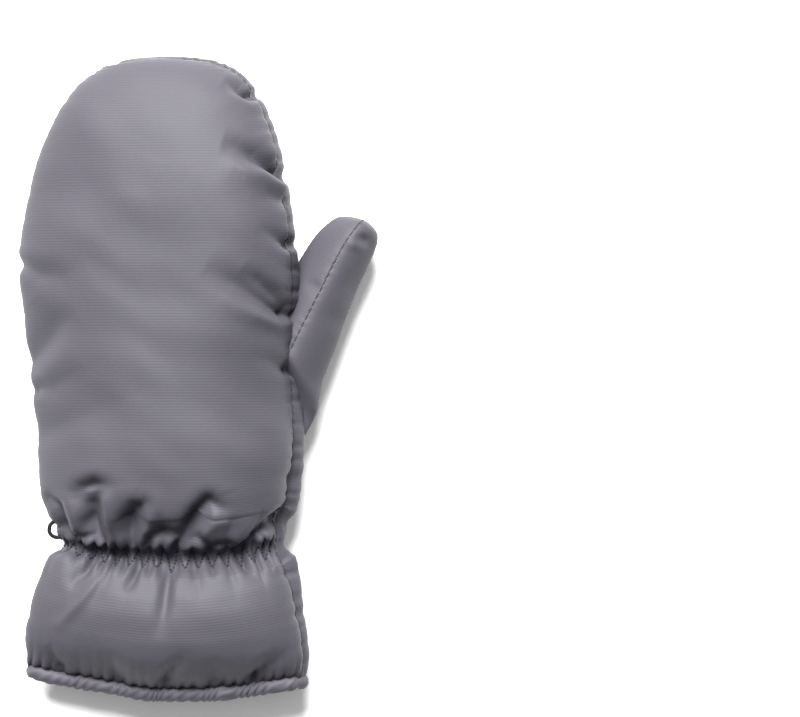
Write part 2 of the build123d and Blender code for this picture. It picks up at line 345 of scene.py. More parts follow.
outer_pinch = pinch_depth(OUTER_SIDE_PINCHES, 3)
thumb_pinch = pinch_depth(THUMB_SIDE_PINCHES, 5)
OUTER_SEAM, OUTER_EDGE = (
    seam_line(OUTER_LINE, OUTER_WAY, OUTER_SEAM_INSET(ALONG), OUTER_SEAM_Z(ALONG), pinch)
    for pinch in (outer_pinch, 0 * ALONG)
)
THUMB_SEAM, THUMB_EDGE = (
    seam_line(THUMB_LINE, THUMB_WAY, THUMB_SEAM_INSET(ALONG), THUMB_SEAM_Z(ALONG), pinch)
    for pinch in (thumb_pinch, 0 * ALONG)
)
for outer, inner in ((OUTER_SEAM, THUMB_SEAM), (OUTER_EDGE, THUMB_EDGE)):
    outer[-1] = inner[-1] = (outer[-1] + inner[-1]) / 2
OUTER_PALM_SEAM, THUMB_PALM_SEAM = (
    seam_line(line, way, PALM_SEAM_INSET + 0 * ALONG, PALM_SEAM_Z(ALONG), PALM_PINCH * pinch)
    for line, way, pinch in ((OUTER_LINE, OUTER_WAY, outer_pinch), (THUMB_LINE, THUMB_WAY, thumb_pinch))
)
OUTER_PALM_SEAM[-1] = THUMB_PALM_SEAM[-1] = (OUTER_PALM_SEAM[-1] + THUMB_PALM_SEAM[-1]) / 2


# --- Back panel -----------------------------------------------------------------------------------

CROWN = curve_through([
    (HEM_Y, 25.5), (-151.5, 30.5), (-147, 36.0), (-142, 41.0), (-137, 44.4), (-130, 47.0), (-121, 48.0),
    (-114, 46.8), (-107, 43.6), (-101, 39.8), (WRIST_Y, 36.0), (-93.8, 41.0), (-88, 46.2), (-84, 49.2),
    (-77, 53.2), (-70, 55.9), (-60, 58.0), (-48, 58.8), (0, 59.0), (POCKET_Y, 58.0), (TIP_END, 58.0),
])
# How far the middle of the back lies nearer the hem than its edges
SAG = curve_through([
    (HEM_Y, 8.5), (-125, 8.0), (-110, 6.5), (-98, 5.5), (-84, 3.6), (-66, 1.0), (-50, 0.0), (TIP_END, 0.0),
])
BACK_COLUMNS = 176
# Squareness of the back's cross-section: 2 is an ellipse
SQUARENESS = curve_through([
    (HEM_Y, 2.3), (-100, 2.2), (-60, 2.0), (0, 2.05), (POCKET_Y, 2.4), (TIP_END, 2.4),
])

# Listed folds: each is a run of (x, y, depth, half width)
BODY_FOLDS = [
    # from the pinches on the thumb side
    [(41, 105, 5.0, 2.6), (36, 108.5, 4.2, 3.4), (29, 111.5, 0.0, 4.4)],
    [(56, 69, 6.2, 2.6), (50, 73, 8.2, 3.4), (43, 77.5, 7.0, 4.4), (36, 81, 3.2, 5.4), (29, 83, 0.0, 6.5)],
    [(54, 63.5, -1.6, 3.5), (46, 68.5, -2.4, 5), (36, 72, -1.0, 7)],
    [(57, 57, 1.2, 3.5), (49, 58.5, 0.8, 4), (42, 58, 0.0, 4)],
    [(58, 37, 2.4, 2.6), (52, 41.5, 1.8, 3.4), (44, 45.5, 0.0, 4)],
    [(58, 6.5, 4.8, 2.4), (52, 9, 5.6, 3.2), (44, 14, 4.6, 4.6), (34, 20.5, 2.8, 6.2), (22, 28, 0.0, 8)],
    [(54, 1.5, -1.4, 3.5), (44, 6.5, -1.8, 5), (34, 12, -0.6, 6)],
    [(57.5, 10, 3.0, 3.2), (52, 15.5, 4.0, 4.0), (45, 21.5, 3.0, 4.6), (38, 27, 0.0, 5.2)],
    [(58, -17, 1.4, 3.2), (50, -14, 1.0, 4.5), (40, -12, 0.0, 5)],
    # from the outer side
    [(-62, 29, 3.0, 4.0), (-54, 25, 2.6, 6.0), (-44, 24, 1.6, 8.0), (-32, 28, 0.0, 9)],
    [(-60, -14, 3.4, 8.0), (-52, -6, 3.4, 8.0), (-45, 2, 2.2, 8.0), (-36, 6, 0.0, 8)],
    [(-57, -27, 2.4, 4.0), (-50, -26, 1.6, 6.0), (-38, -20, 1.2, 8.0), (-22, -12, 0.0, 9)],
    [(-52, -46, 1.2, 7.0), (-38, -41, 1.2, 8.0), (-20, -33, 0.8, 9.0), (-4, -27, 0.0, 9)],
]
GATHER_FOLDS = [
    # dents above the elastic
    [
        (-28, -71.5, 1.8, 5.0), (-27.5, -73.5, 3.6, 5.0), (-29.5, -79, 5.4, 5.0),
        (-30, -86, 5.8, 4.2), (-27, -94, 4.0, 2.6),
    ],
    [(-36, -75, 2.0, 4.0), (-34, -71, 2.6, 3.6), (-28, -68.6, 3.0, 3.4), (-23, -69.5, 1.2, 3.4)],
    [(-38, -93, 1.6, 1.8), (-31, -93, 1.6, 1.8)],
    [
        (-5.5, -77.5, 1.6, 3.4), (-9, -80, 4.0, 4.2), (-12, -85, 4.6, 4.4),
        (-13, -91, 3.6, 3.4), (-12.5, -97, 2.4, 2.2),
    ],
    [(-6, -97.5, 2.2, 2.2), (-3.4, -93.5, 2.6, 2.6), (1.8, -91, 2.8, 2.8), (7.5, -91.5, 2.0, 2.6)],
    [
        (28, -79, 1.4, 3.4), (23, -77, 4.2, 4.2), (18.2, -81.8, 5.0, 3.8),
        (14, -88, 5.0, 3.4), (10.6, -94, 4.4, 2.8), (7, -99, 3.0, 2.2),
    ],
    [(11, -97.8, 1.6, 1.8), (14, -94.2, 2.4, 2.0), (18, -92.8, 2.2, 2.2), (21, -95.5, 1.2, 2.0)],
    [(22, -98, 1.4, 2.0), (26.4, -95.6, 2.2, 2.2), (32, -95.8, 1.6, 2.4)],
    [(54.5, -82, 2.8, 2.6), (47, -88, 4.6, 3.0), (40, -95, 4.4, 3.0), (34, -100, 2.6, 2.4)],
    [(-50, -76, 1.6, 3.0), (-45.5, -79, 2.6, 2.8), (-43, -88, 3.4, 2.8), (-39, -95, 2.6, 2.4)],
    # swells between them
    [(-23, -75, -1.6, 3.6), (-21, -86, -2.0, 3.6), (-20, -93, -1.0, 3.0)],
    [(-3.5, -84, -1.2, 4.0), (-5.5, -90, -1.4, 2.6)],
    [(-1, -80, -1.6, 7.0), (4, -82, -1.6, 7.0)],
    [(25, -84, -1.0, 4.5), (20.5, -90, -1.6, 3.2)],
    [(30, -84, -1.8, 8.0), (38, -86, -1.6, 7.0)],
    [(-39, -78, -1.2, 4.0), (-36.5, -87, -1.6, 3.5)],
    # below the elastic
    [(-28.5, -100.5, 3.0, 2.2), (-32.5, -107.5, 2.8, 2.4), (-38.5, -113, 0.8, 3.0)],
    [(-23, -107, -1.0, 2.0), (-34.5, -121, -1.4, 2.4), (-45, -132, -0.6, 3.0)],
    [(-8.8, -104, 2.4, 1.8), (-12, -112.5, 1.6, 2.2), (-15, -117, 0.0, 2.6)],
    [
        (4.1, -103, 4.2, 1.8), (3.8, -112, 3.6, 2.2), (3.0, -121, 2.6, 2.8),
        (1.5, -131, 1.2, 3.4), (0, -138, 0.0, 4),
    ],
    [(34, -102, 2.0, 2.0), (38, -105.8, 3.0, 2.4), (43.5, -111, 0.6, 3.2)],
]
HEM_FOLDS = [
    [(2, -158, 2.8, 2.8), (6, -152, 2.4, 3.4), (11, -147, 0.6, 5.0), (15, -143, 0.0, 5)],
    [(42, -157, 2.6, 3.0), (49, -151, 2.2, 3.8), (55, -146, 1.0, 5.0), (59, -141, 0.0, 5)],
    [(-47, -153, 2.2, 2.8), (-50, -147, 1.4, 3.4), (-52, -142, 0.0, 4)],
    [(-20, -158, 1.6, 3.4), (-22, -151, 1.2, 5.0), (-22, -143, 0.0, 7)],
    [(25, -158, 1.2, 3.0), (24, -151, 0.8, 4.0), (22, -146, 0.0, 5)],
]
# Each group of folds, and how much deeper it is than it is listed
FOLD_GROUPS = ((BODY_FOLDS, 1.15), (GATHER_FOLDS, 1.45), (HEM_FOLDS, 1.5))
DEEPEST, DEEPEST_AT_WRIST = 12.0, 5.5
PUCKER = 0.7            # depth of a pucker against how far its seam is drawn in
PUCKER_REACH = 8.0      # how far puckers run in from the seam
DRAWN_IN = 5.0          # how far the cloth follows a seam that is drawn in
GATHER = 6.2            # width of one puff at the elastic
LARGE_GATHER = 2.2 * GATHER


def puffs(across, gap, seed, unevenness=1.6):
    """A row of gathers: rounded puffs with narrow valleys between them, about 0 on average."""
    uneven = wander(across.ravel(), 3 * gap, seed).reshape(across.shape)
    phase = math.pi * across / gap + unevenness * uneven
    return np.abs(np.sin(phase)) ** 0.8 - 0.69


def gathers(across, along):
    """Height that the gathered cloth adds around the elastic."""
    gap = along - WRIST_Y
    above, below = np.maximum(gap, 0), np.maximum(-gap, 0)
    near = np.exp(-((above / 5) ** 2) - (below / 6) ** 2)
    far = np.exp(-((above / 10) ** 2) - (below / 12) ** 2) * (1 - bump(gap, 6))
    strength = 1 + 0.45 * wander(across.ravel(), 9, 23).reshape(across.shape)
    groove = -3.2 * bump(gap, 3.0)
    small = 3.4 * strength * near * puffs(across, GATHER, 21)
    large = 2.2 * far * puffs(across, LARGE_GATHER, 22)
    return groove + small + large


def hem_puckers(across, along):
    """Small puckers above the binding."""
    fade = np.exp(-np.maximum(along - HEM_Y, 0) / 7)
    return 1.3 * fade * puffs(across, 5.2, 31) - 1.2 * np.exp(-np.maximum(along - HEM_Y, 0) / 2.5)


def cross_shape(columns, squareness):
    """Place across, -1 to 1, and height, 0 to 1, of a rounded cross-section, evenly spaced along it."""
    turn = np.linspace(-math.pi / 2, math.pi / 2, columns + 1)[None, :]
    power = 2 / squareness[:, None]
    across = np.sign(np.sin(turn)) * np.abs(np.sin(turn)) ** power
    return across, np.maximum(np.cos(turn), 0) ** power


def back_base():
    """The back panel before it settles, with its folds and gathers."""
    across, rise = cross_shape(BACK_COLUMNS, SQUARENESS(ALONG))
    share = ((across + 1) / 2)[..., None]
    grid = OUTER_EDGE[:, None] + (THUMB_EDGE - OUTER_EDGE)[:, None] * share
    crown = (CROWN(ALONG) - (OUTER_SEAM_Z(ALONG) + THUMB_SEAM_Z(ALONG)) / 2) * np.cos(ANGLE) ** 0.85
    rise = rise ** (1 + THUMB_SIDE_EASE(ALONG)[:, None] * np.clip(across, 0, 1))
    grid[..., 2] += crown[:, None] * rise
    grid[..., 1] -= SAG(ALONG)[:, None] * (1 - across**2)
    from_edge = arc_across(grid)
    round_over = from_edge / EDGE_REACH * np.exp(1 - from_edge / EDGE_REACH)
    puff = (OUTER_SEAM_INSET(ALONG) + EDGE_PUFF(ALONG))[:, None] * round_over
    grid[..., :2] += puff[..., None] * OUTER_WAY[:, None]
    x, y = grid[..., 0], grid[..., 1]
    arc = arc_across(grid)
    arc -= arc[:, [BACK_COLUMNS // 2]]
    wrist = np.argmin(abs(ALONG - WRIST_Y))
    wrist_arc = np.broadcast_to(arc[wrist], x.shape)
    lift = gathers(wrist_arc, np.broadcast_to(ALONG[:, None], x.shape))
    lift += hem_puckers(arc, np.broadcast_to(ALONG[:, None], x.shape))
    lift += 1.3 * swells(x, y, 31.0, 7) + 0.55 * swells(x + 0.5 * y, y, 15.0, 8)
    for folds, depth in FOLD_GROUPS:
        for fold in folds:
            lift -= depth * stroke_depth(x, y, fold)
    deepest = (DEEPEST + (DEEPEST_AT_WRIST - DEEPEST) * bump(ALONG - WRIST_Y, 8))[:, None]
    lift = np.where(lift < 0, -deepest * np.tanh(-lift / deepest), lift)
    from_outer, from_thumb = arc - arc[:, [0]], arc[:, [-1]] - arc
    edge_fade = np.minimum(1, np.minimum(from_outer, from_thumb) / 3.5)
    lift -= PUCKER * (
        outer_pinch[:, None] * np.exp(-((from_outer / PUCKER_REACH) ** 1.4))
        + thumb_pinch[:, None] * np.exp(-((from_thumb / PUCKER_REACH) ** 1.4))
    )
    grid += (lift * edge_fade)[..., None] * normals_of(grid)
    for move, distance in ((OUTER_SEAM - OUTER_EDGE, from_outer), (THUMB_SEAM - THUMB_EDGE, from_thumb)):
        grid += move[:, None] * np.exp(-((distance / DRAWN_IN) ** 1.5))[..., None]
    up_the_middle = np.append(0, np.cumsum(length_of(np.diff(grid[:, BACK_COLUMNS // 2], axis=0))[:, 0]))
    pattern = np.stack([arc, np.broadcast_to(up_the_middle[:, None], x.shape)], axis=-1)
    return grid, arc, pattern


def edge_slack(from_left, from_right, from_end, most, reach):
    """Spare cloth near a panel's seams."""
    nearest = np.minimum(np.minimum(from_left, from_right), from_end)
    return most * np.exp(-nearest / reach)


SEAM_SLACK, SEAM_SLACK_REACH = 0.045, 6.0
# From here to the tip the thumb side's seam has little spare cloth
THUMB_SLACK_FROM, THUMB_SLACK_LESS = -30.0, 0.03
base, arc, back_pattern = back_base()
from_left, from_right = arc - arc[:, [0]], arc[:, [-1]] - arc
from_tip = (TIP_END - ALONG)[:, None] + 0 * arc
near_seam = edge_slack(from_left, from_right, from_tip, SEAM_SLACK, SEAM_SLACK_REACH)
beside_pocket = (ALONG > THUMB_SLACK_FROM)[:, None]
near_seam -= THUMB_SLACK_LESS * beside_pocket * np.exp(-from_right / SEAM_SLACK_REACH)
wrist_gap = (ALONG - WRIST_Y)[:, None]
hem_gap = (ALONG - HEM_Y)[:, None]
slack_u = -0.008 + 0.4 * near_seam + 0.12 * bump(wrist_gap, 7) + 0.05 * bump(hem_gap, 6)
slack_v = -0.012 + near_seam
hold = 0.08 + 0.10 * bump(wrist_gap, 12) + 0 * arc
BACK = settle(base, slack_u, slack_v, hold, seed=41)


# --- Side gusset ----------------------------------------------------------------------------------

GUSSET_COLUMNS = 28
STRIP_CREASE, STRIP_CREASE_REACH = 2.2, 0.3     # the crease that runs from a pinch across the strip


def gusset(back_seam, palm_seam, outward, bulge, pinch, seed):
    """The strip between the back seam and the palm seam on one side."""
    share = np.linspace(0, 1, GUSSET_COLUMNS + 1)
    turn = math.pi * share
    level = 0.65 * share + 0.35 * (1 - np.cos(turn)) / 2
    grid = back_seam[:, None] + (palm_seam - back_seam)[:, None] * level[None, :, None]
    way = np.column_stack([outward, 0 * ALONG])
    grid += way[:, None] * np.sin(turn)[None, :, None] * bulge[:, None, None]
    arc = arc_across(grid)
    inner = np.sin(turn)[None, :]
    gap = (ALONG - WRIST_Y)[:, None]
    lift = 1.7 * np.exp(-(gap / 8) ** 2) * puffs(ALONG[:, None] * 0.4 + arc, GATHER, seed) * inner
    lift -= 1.6 * bump(gap, 3) * inner
    lift += 0.9 * np.exp(-np.maximum(ALONG - HEM_Y, 0) / 5)[:, None] * puffs(arc, 5.0, seed + 1) * inner
    lift -= STRIP_CREASE * pinch[:, None] * (inner * np.exp(-share / STRIP_CREASE_REACH))
    direction = normals_of(grid)
    direction *= np.sign(np.einsum("...i,...i->...", direction, way[:, None] + 0 * grid))[..., None]
    grid += lift[..., None] * direction
    slack_v = 0.05 + 0 * arc
    slack_u = 0.02 + 0.10 * bump(gap, 7) + 0 * arc
    cloth = settle(grid, slack_u, slack_v, 0.10 + 0 * arc, rounds=(90, 50), seed=seed)
    pattern = np.stack([arc, np.broadcast_to(ALONG[:, None], arc.shape)], axis=-1)
    return cloth, pattern


BULGE_PINCH = 0.2       # how much of a seam's pinch draws in the strip as well
# How far the outer side's strip is drawn in, but not at the fingertip where the two meet
OUTER_DRAWN_IN = 1.6


def gusset_bulge(line, outward, back_seam, palm_seam, pinch):
    """How far the strip stands out from between its seams, to reach the outline."""
    middle = (back_seam[:, :2] + palm_seam[:, :2]) / 2
    return np.einsum("ij,ij->i", line - middle, outward) - BULGE_PINCH * pinch


outer_bulge = gusset_bulge(OUTER_LINE, OUTER_WAY, OUTER_SEAM, OUTER_PALM_SEAM, outer_pinch)
OUTER_GUSSET, outer_pattern = gusset(
    OUTER_SEAM, OUTER_PALM_SEAM, OUTER_WAY, outer_bulge - OUTER_DRAWN_IN * np.cos(ANGLE), outer_pinch, 51,
)
THUMB_GUSSET, thumb_pattern = gusset(
    THUMB_SEAM, THUMB_PALM_SEAM, THUMB_WAY,
    gusset_bulge(THUMB_LINE, THUMB_WAY, THUMB_SEAM, THUMB_PALM_SEAM, thumb_pinch), thumb_pinch, 53,
)


# --- Palm -----------------------------------------------------------------------------------------

FLOOR_GAP = 0.3
PALM_SLACK, PALM_SLACK_REACH = 0.05, 9.0
PALM_COLUMNS = 88
PALM_DEPTH = curve_through([
    (HEM_Y, 9.5), (-146, 11.4), (-125, 10.5), (-108, 8.0), (WRIST_Y, 7.0), (-86, 9.0), (-70, 11.4),
    (-50, 10.8), (TIP_END, 10.8),
])


def palm_base():
    """The palm side before it settles: flat where it lies, rising to its seams."""
    across, _ = cross_shape(PALM_COLUMNS, 2.2 + 0 * ALONG)
    drop = np.maximum(1 - np.abs(across) ** 3.2, 0) ** 0.75
    share = ((across + 1) / 2)[..., None]
    grid = OUTER_PALM_SEAM[:, None] + (THUMB_PALM_SEAM - OUTER_PALM_SEAM)[:, None] * share
    depth = PALM_DEPTH(ALONG) * np.cos(ANGLE) ** 0.6
    grid[..., 2] -= depth[:, None] * drop
    arc = arc_across(grid)
    gap = (ALONG - WRIST_Y)[:, None]
    lift = 1.8 * (bump(gap, 10) * puffs(arc, GATHER, 61) + 0.8 * bump(gap, 24) * puffs(arc, LARGE_GATHER, 62))
    lift += 0.8 * np.exp(-(hem_gap / 7)) * puffs(arc, 5.2, 63) - 1.8 * bump(gap, 3.2)
    fade = np.minimum(1, np.minimum(arc, arc[:, [-1]] - arc) / 4)
    grid[..., 2] -= lift * fade
    return grid, arc


def above_floor(grid):
    grid[..., 2] = np.maximum(grid[..., 2], FLOOR_GAP)
    return grid


palm, palm_arc = palm_base()
palm_slack = edge_slack(
    palm_arc, palm_arc[:, [-1]] - palm_arc, (TIP_END - ALONG)[:, None] + 0 * palm_arc,
    PALM_SLACK, PALM_SLACK_REACH,
)
PALM = above_floor(settle(
    palm, 0.01 + 0.5 * palm_slack + 0.08 * bump(wrist_gap, 8), 0.012 + palm_slack, 0.12 + 0 * palm_arc,
    rounds=(90, 40), seed=64,
))
palm_pattern = np.stack([palm_arc, np.broadcast_to(ALONG[:, None], palm_arc.shape)], axis=-1)


# --- Thumb ----------------------------------------------------------------------------------------

THUMB_END = np.array([87.0, 52.0])
THUMB_ANGLE = math.radians(24)
THUMB_BACK = np.array([-math.sin(THUMB_ANGLE), -math.cos(THUMB_ANGLE)])
THUMB_ACROSS = np.array([math.cos(THUMB_ANGLE), -math.sin(THUMB_ANGLE)])
THUMB_TIP_REACH = 16.0
THUMB_Z = 19.0
# (distance back from the tip, inner edge, outer edge, half height, seam's place across)
THUMB_LINES = [
    (THUMB_TIP_REACH, -12.8, 15.2, 13.8, 0.8), (30, -14.9, 15.3, 15.0, 0.8), (45, -16.6, 15.8, 15.8, -0.3),
    (60, -18.0, 16.9, 16.3, -2.6), (74, -19.8, 17.5, 16.6, -2.8), (82, -21.0, 19.4, 16.6, -2.8),
    (89, -22.0, 20.9, 16.6, -3.0), (97, -22.4, 20.5, 16.4, -3.0), (106, -22.0, 19.0, 16.0, -3.0),
    (114, -20.0, 12.0, 14.0, -3.0),
]
# The same round the thumb's tip, by degrees
THUMB_TIP_LINES = [
    (30, -9.8, 14.8, 12.8, 1.8), (50, -7.0, 13.4, 11.0, 3.6), (70, -1.6, 9.6, 7.4, 4.6),
    (90, 5.0, 5.0, 0.0, 5.0),
]
# How far the upper half is from an ellipse towards a roof with its ridge at the seam
ROOF_INNER, ROOF_OUTER = 0.75, 0.35
# The root is tucked down beside the hand, beyond a crease that slants across it
CREASE_BACK, CREASE_ACROSS, CREASE_SLANT = 73.0, 5.0, 0.70
TUCK, TUCK_REACH = 0.72, 13.0
THUMB_ROOT = 112.0
UNDER_SEAM_Z = 13.5     # between the thumb's back panels and its grip panel
THUMB_PANEL_COLUMNS = {"inner": 36, "outer": 36, "grip": 44}


def thumb_place(degrees):
    return THUMB_TIP_REACH * (1 - math.radians(degrees))


thumb_rows = 4 * round((THUMB_ROOT - thumb_place(90)) / STEP / 4)
THUMB_ALONG = np.linspace(THUMB_ROOT, thumb_place(90), thumb_rows + 1)
thumb_turn = np.clip((THUMB_TIP_REACH - THUMB_ALONG) / THUMB_TIP_REACH, 0, math.pi / 2)
round_the_tip = THUMB_TIP_REACH * (1 - np.sin(thumb_turn))
thumb_back = np.where(THUMB_ALONG > THUMB_TIP_REACH, THUMB_ALONG, round_the_tip)
thumb_table = [(thumb_place(d), *rest) for d, *rest in reversed(THUMB_TIP_LINES)] + THUMB_LINES
inner_edge, outer_edge, half_height, seam_place = (
    curve_through([(row[0], row[k]) for row in thumb_table])(THUMB_ALONG) for k in (1, 2, 3, 4)
)


thumb_middle, thumb_half = (inner_edge + outer_edge) / 2, (outer_edge - inner_edge) / 2


def ease(share):
    """From 0 to 1 with a level start and end."""
    share = np.clip(share, 0, 1)
    return share * share * (3 - 2 * share)


def thumb_section(turn, rows, inset=0.0):
    """Points round the thumb in its own cross-section, an ellipse drawn up to a ridge at the seam."""
    middle, half = thumb_middle[rows], thumb_half[rows]
    shrink = np.clip(1 - inset / np.maximum(half, 1), 0.02, 1)
    roof = ROOF_INNER + (ROOF_OUTER - ROOF_INNER) * ease((np.cos(turn) + 0.3) / 0.6)
    power = 2 / (2 - roof * ease((np.sin(turn) + 0.3) / 0.8))
    cosine, sine = (np.sign(wave) * np.abs(wave) ** power for wave in (np.cos(turn), np.sin(turn)))
    across = middle[:, None] + (half * shrink)[:, None] * cosine
    rise = (half_height[rows] * shrink)[:, None] * sine
    back = thumb_back[rows] + inset * np.sin(thumb_turn[rows])
    crease = CREASE_BACK + CREASE_SLANT * (across - CREASE_ACROSS)
    tuck = TUCK * ease((back[:, None] - crease) / TUCK_REACH) * ease((across - middle[:, None]) / 6 + 0.5)
    height = THUMB_Z + rise * np.where(rise > 0, 1 - tuck, 1)
    plan = THUMB_END + back[:, None, None] * THUMB_BACK + across[..., None] * THUMB_ACROSS
    return np.concatenate([plan, height[..., None]], axis=-1)


def thumb_panel(name, start, end, seed, folds=()):
    """A thumb panel between two turns about the thumb's middle, puffed between its seams."""
    columns = THUMB_PANEL_COLUMNS[name]
    share = np.linspace(0, 1, columns + 1)[None, :]
    turn = start[:, None] + (end - start)[:, None] * share
    half = thumb_half
    grid = thumb_section(turn, np.arange(len(THUMB_ALONG)))
    arc = arc_across(grid)
    out = np.stack([
        np.cos(turn) * THUMB_ACROSS[0], np.cos(turn) * THUMB_ACROSS[1],
        np.sin(turn) * half[:, None] / np.maximum(half_height, 1)[:, None],
    ], axis=-1)
    near = np.minimum(arc, arc[:, [-1]] - arc)
    pinch = 0.35 * np.abs(wander(THUMB_ALONG, 5.0, 71))[:, None] * np.exp(-near / 2.5)
    lift = 0.9 * (1 - np.exp(-near / 2.2)) - 0.9 - pinch
    lift *= np.minimum(1, half / 8)[:, None]
    for place, q, depth, length, width in folds:
        lift -= depth * bump(thumb_back[:, None] - place, length) * bump(share - q, width)
    grid += lift[..., None] * unit(out)
    slack = 0.06 * np.exp(-near / 6) + 0.02
    cloth = settle(grid, 0.3 * slack, slack, 0.10 + 0 * arc, rounds=(90, 50), seed=seed)
    pattern = np.stack([arc, np.broadcast_to(-THUMB_ALONG[:, None], arc.shape)], axis=-1)
    return above_floor(cloth), pattern


ridge_turn = np.arccos(np.clip((seam_place - thumb_middle) / np.maximum(thumb_half, 0.01), -0.9, 0.9))
under_sine = np.clip((UNDER_SEAM_Z - THUMB_Z) / np.maximum(half_height, 6.0), -0.9, 0)
outer_under, inner_under = np.arcsin(under_sine), math.pi - np.arcsin(under_sine)
# Listed dents: (distance back from the tip, share across the panel, depth, half length, half width)
OUTER_DENTS = [
    (8.5, 0.35, 1.6, 2.6, 0.14), (12.5, 0.2, -0.8, 2.5, 0.14), (30, 0.55, 1.0, 8, 0.25),
    (46, 0.5, 0.6, 5, 0.3),
]
INNER_DENTS = [(37, 0.8, 0.8, 3.0, 0.15)]
THUMB_OUTER, thumb_outer_pattern = thumb_panel("outer", ridge_turn, outer_under, 73, OUTER_DENTS)
THUMB_INNER, thumb_inner_pattern = thumb_panel("inner", inner_under, ridge_turn, 74, INNER_DENTS)
THUMB_GRIP, thumb_grip_pattern = thumb_panel("grip", outer_under, inner_under - 2 * math.pi, 75)


# --- Materials ------------------------------------------------------------------------------------

def new_material(name):
    material = bpy.data.materials.new(name)
    material.use_nodes = True
    nodes, links = material.node_tree.nodes, material.node_tree.links
    return material, nodes, links, nodes["Principled BSDF"]


def math_node(nodes, links, operation, first, second=None):
    node = nodes.new("ShaderNodeMath")
    node.operation = operation
    for socket, value in zip(node.inputs, (first, second)):
        if value is None:
            continue
        if isinstance(value, (int, float)):
            socket.default_value = value
        else:
            links.new(value, socket)
    return node.outputs[0]


def noise_node(nodes, links, vector, scale, detail=3.0):
    node = nodes.new("ShaderNodeTexNoise")
    node.inputs["Scale"].default_value = scale
    node.inputs["Detail"].default_value = detail
    links.new(vector, node.inputs["Vector"])
    return node.outputs["Fac"]


def bump_node(nodes, links, height, distance, strength=1.0, below=None):
    node = nodes.new("ShaderNodeBump")
    node.inputs["Distance"].default_value = distance
    node.inputs["Strength"].default_value = strength
    links.new(height, node.inputs["Height"])
    if below is not None:
        links.new(below, node.inputs["Normal"])
    return node.outputs["Normal"]


def mix_colours(nodes, links, factor, first, second):
    node = nodes.new("ShaderNodeMix")
    node.data_type = "RGBA"
    links.new(factor, node.inputs["Factor"])
    for name, colour in (("A", first), ("B", second)):
        socket = [s for s in node.inputs if s.name == name and s.type == "RGBA"][0]
        if isinstance(colour, tuple):
            socket.default_value = (*colour, 1)
        else:
            links.new(colour, socket)
    return [s for s in node.outputs if s.type == "RGBA"][0]


THREAD_GAP = 0.55


def ribbed_cloth(name, dark, light, rib=1.25, roughness=0.62, sheen=0.02):
    """Plain-woven polyester with a raised rib across it, by the pattern coordinates of each panel."""
    material, nodes, links, shader = new_material(name)
    pattern = nodes.new("ShaderNodeUVMap")
    pattern.uv_map = "Pattern"
    parts = nodes.new("ShaderNodeSeparateXYZ")
    links.new(pattern.outputs["UV"], parts.inputs[0])
    place = nodes.new("ShaderNodeTexCoord").outputs["Object"]
    drift = noise_node(nodes, links, place, 26.0, 2.0)
    across, along = parts.outputs["X"], parts.outputs["Y"]
    wave = math_node(nodes, links, "MULTIPLY", along, 2 * math.pi / (rib * MM))
    wave = math_node(nodes, links, "ADD", wave, math_node(nodes, links, "MULTIPLY", drift, 3.0))
    ribs = math_node(nodes, links, "SINE", wave)
    ribs = math_node(nodes, links, "MULTIPLY_ADD", ribs, 0.5)
    ribs.node.inputs[2].default_value = 0.5
    thread = math_node(nodes, links, "MULTIPLY", across, 2 * math.pi / (THREAD_GAP * MM))
    thread = math_node(nodes, links, "SINE", thread)
    weave = math_node(nodes, links, "MULTIPLY_ADD", thread, 0.12)
    links.new(ribs, weave.node.inputs[2])
    slub = noise_node(nodes, links, place, 900.0, 2.0)
    patch = noise_node(nodes, links, place, 22.0, 3.0)
    shade = math_node(nodes, links, "MULTIPLY_ADD", ribs, 0.28)
    links.new(math_node(nodes, links, "MULTIPLY", slub, 0.36), shade.node.inputs[2])
    shade = math_node(nodes, links, "ADD", shade, math_node(nodes, links, "MULTIPLY", patch, 0.3))
    links.new(mix_colours(nodes, links, shade, dark, light), shader.inputs["Base Color"])
    fine = bump_node(nodes, links, weave, 0.05 * MM, 0.55)
    creased = noise_node(nodes, links, place, 260.0, 3.0)
    creased = bump_node(nodes, links, creased, 0.25 * MM, 0.25, fine)
    links.new(creased, shader.inputs["Normal"])
    shader.inputs["Roughness"].default_value = roughness
    shader.inputs["Specular IOR Level"].default_value = 0.24
    shader.inputs["Sheen Weight"].default_value = sheen
    shader.inputs["Sheen Roughness"].default_value = 0.45
    return material


def grained(name, dark, light, scale, depth, roughness=0.8, sheen=0.0, spots=0.0, shine=0.3):
    """A soft surface with an irregular grain, such as suede, fleece, wadding or thread."""
    material, nodes, links, shader = new_material(name)
    place = nodes.new("ShaderNodeTexCoord").outputs["Object"]
    grain = noise_node(nodes, links, place, scale, 6.0)
    broad = noise_node(nodes, links, place, scale / 12, 2.0)
    shade = math_node(nodes, links, "MULTIPLY_ADD", grain, 0.7)
    links.new(math_node(nodes, links, "MULTIPLY", broad, 0.3), shade.node.inputs[2])
    links.new(mix_colours(nodes, links, shade, dark, light), shader.inputs["Base Color"])
    height = grain
    if spots:
        cells = nodes.new("ShaderNodeTexVoronoi")
        cells.inputs["Scale"].default_value = spots
        links.new(place, cells.inputs["Vector"])
        height = math_node(nodes, links, "MULTIPLY_ADD", cells.outputs["Distance"], -0.8)
        links.new(grain, height.node.inputs[2])
    links.new(bump_node(nodes, links, height, depth * MM), shader.inputs["Normal"])
    shader.inputs["Roughness"].default_value = roughness
    shader.inputs["Specular IOR Level"].default_value = shine
    shader.inputs["Sheen Weight"].default_value = sheen
    return material


